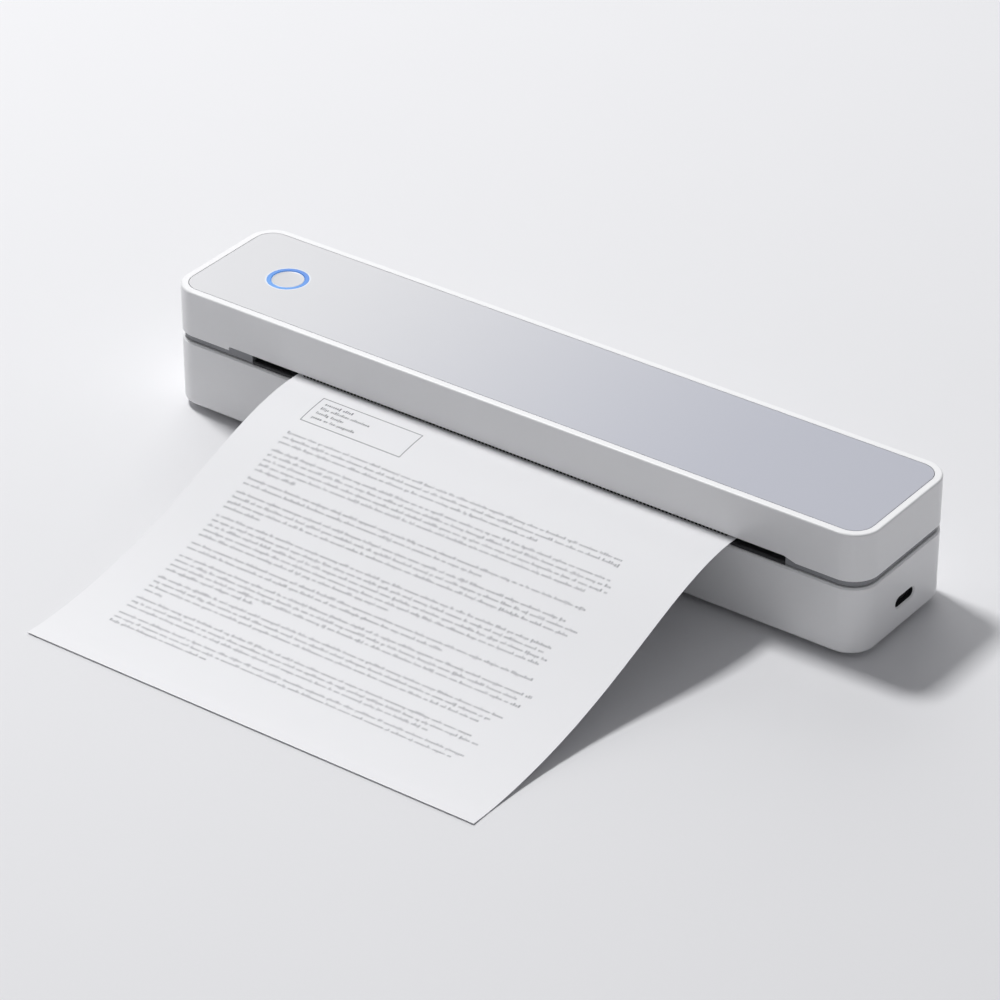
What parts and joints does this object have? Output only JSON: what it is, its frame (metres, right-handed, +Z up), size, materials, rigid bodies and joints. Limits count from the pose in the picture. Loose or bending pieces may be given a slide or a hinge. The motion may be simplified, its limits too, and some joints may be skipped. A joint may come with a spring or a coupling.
{
  "type": "portable thermal printer",
  "caption": "Slim bar-shaped A4 thermal printer with a rear-hinged cover, front paper slot, ringed power button, platen drive and a printed sheet leaving the slot.",
  "frame": {"origin": "middle of the bar's plan, on the surface that the feet stand on", "axes": "+X along the bar to the charging-port end, -Y the way the paper leaves, +Z up"},
  "size_m": [0.332, 0.23, 0.0555],
  "materials": {
    "shell_white": "satin moulded ABS",
    "plate_satin": "satin metallic paint on moulded plastic",
    "button_satin": "satin metallic paint",
    "liner_grey": "fine matt texture",
    "deck_grey": "fine matt texture",
    "inner_black": "matt",
    "foot_rubber": "matt",
    "platen_rubber": "ground matt",
    "screw_steel": "zinc plated",
    "plate_steel": "zinc plated sheet",
    "shaft_steel": "ground",
    "spring_steel": "drawn wire and strip",
    "tear_steel": "stamped strip",
    "motor_steel": "drawn can",
    "port_steel": "bright stamped shell",
    "contact_nickel": "nickel strip",
    "bush_brass": "turned",
    "head_aluminium": "extruded",
    "head_ceramic": "glazed ceramic",
    "gear_nylon": "moulded nylon",
    "board_green": "solder mask",
    "chip_black": "moulded epoxy",
    "connector_white": "moulded nylon",
    "connector_black": "moulded nylon",
    "cell_wrap": "shrink wrap over a metal can",
    "lead_black": "PVC",
    "lead_red": "PVC",
    "ribbon_black": "flat flexible cable",
    "ring_light": "translucent light guide, lit blue",
    "led_blue": "clear epoxy",
    "paper_white": "coated thermal paper"
  },
  "bodies": {
    "base": {"lower_case": "shell_white", "rubber_feet": "foot_rubber", "case_screws": "screw_steel", "base_deck": "deck_grey", "left_side_plate": "plate_steel", "right_side_plate": "plate_steel", "plate_screws": "screw_steel", "platen_bushes": "bush_brass", "idler_stud": "shaft_steel", "idler_clip": "screw_steel", "motor_can": "motor_steel", "motor_screws": "screw_steel", "battery_cradle": "inner_black", "battery_cells": "cell_wrap", "cell_tabs": "contact_nickel", "main_board": "board_green", "board_screws": "screw_steel", "board_chips": "chip_black", "board_connectors": "connector_white", "usb_receptacle": "port_steel", "motor_lead": "lead_black", "battery_lead": "lead_red", "paper_sensor": "chip_black", "latch_clips": "spring_steel", "hinge_pins": "shaft_steel", "ribbon_base": "ribbon_black"},
    "cover": {"top_cover": "shell_white", "top_plate": "plate_satin", "cover_liner": "liner_grey", "liner_screws": "screw_steel", "latch_studs": "shaft_steel", "tear_bar": "tear_steel", "light_ring": "ring_light", "button_board": "board_green", "button_board_screws": "screw_steel", "status_leds": "led_blue", "tact_switch": "chip_black", "button_lead": "lead_black", "head_bracket": "plate_steel", "bracket_screws": "screw_steel", "head_shoulder_screws": "screw_steel", "head_springs": "spring_steel", "ribbon_cover": "ribbon_black"},
    "print_head": {"print_head_heatsink": "head_aluminium", "print_head_ceramic": "head_ceramic", "driver_strip": "chip_black", "head_board": "board_green", "head_connector": "connector_black"},
    "power_button": {"power_button": "button_satin", "switch_plunger": "chip_black"},
    "platen": {"platen_shaft": "shaft_steel", "platen_rubber": "platen_rubber", "platen_gear": "gear_nylon", "shaft_clips": "screw_steel"},
    "idler": {"idler_gear": "gear_nylon"},
    "motor_rotor": {"motor_shaft": "shaft_steel", "motor_pinion": "bush_brass"},
    "sheet": {"paper_sheet": "paper_white"}
  },
  "joints": [
    {"name": "cover_hinge", "type": "hinge", "parent": "base", "child": "cover", "pos_m": [0, 0.0302, 0.0334], "axis": [-1, 0, 0], "range_deg": [0, 75]},
    {"name": "head_lift", "type": "slide", "parent": "cover", "child": "print_head", "axis": [0, 0, 1], "range_m": [0, 0.0008], "stiffness_N_per_m": 6000, "springref_m": -0.001, "deforming": ["head_springs"]},
    {"name": "button_press", "type": "slide", "parent": "cover", "child": "power_button", "axis": [0, 0, -1], "range_m": [0, 0.0005], "stiffness_N_per_m": 1500, "springref_m": -0.0002},
    {"name": "platen_spin", "type": "hinge", "parent": "base", "child": "platen", "pos_m": [0.0042, -0.014, 0.02905], "axis": [1, 0, 0], "continuous": true},
    {"name": "idler_spin", "type": "hinge", "parent": "base", "child": "idler", "pos_m": [-0.1365, -0.00532, 0.01871], "axis": [1, 0, 0], "continuous": true},
    {"name": "motor_spin", "type": "hinge", "parent": "base", "child": "motor_rotor", "pos_m": [-0.1365, 0.00593, 0.01871], "axis": [1, 0, 0], "continuous": true},
    {"name": "sheet_feed", "type": "slide", "parent": "base", "child": "sheet", "axis": [0, -1, 0], "range_m": [0, 0.045]}
  ],
  "couplings": [
    {"joint": "idler_spin", "follows": "platen_spin", "ratio": -0.8},
    {"joint": "motor_spin", "follows": "platen_spin", "ratio": 1.6}
  ]
}
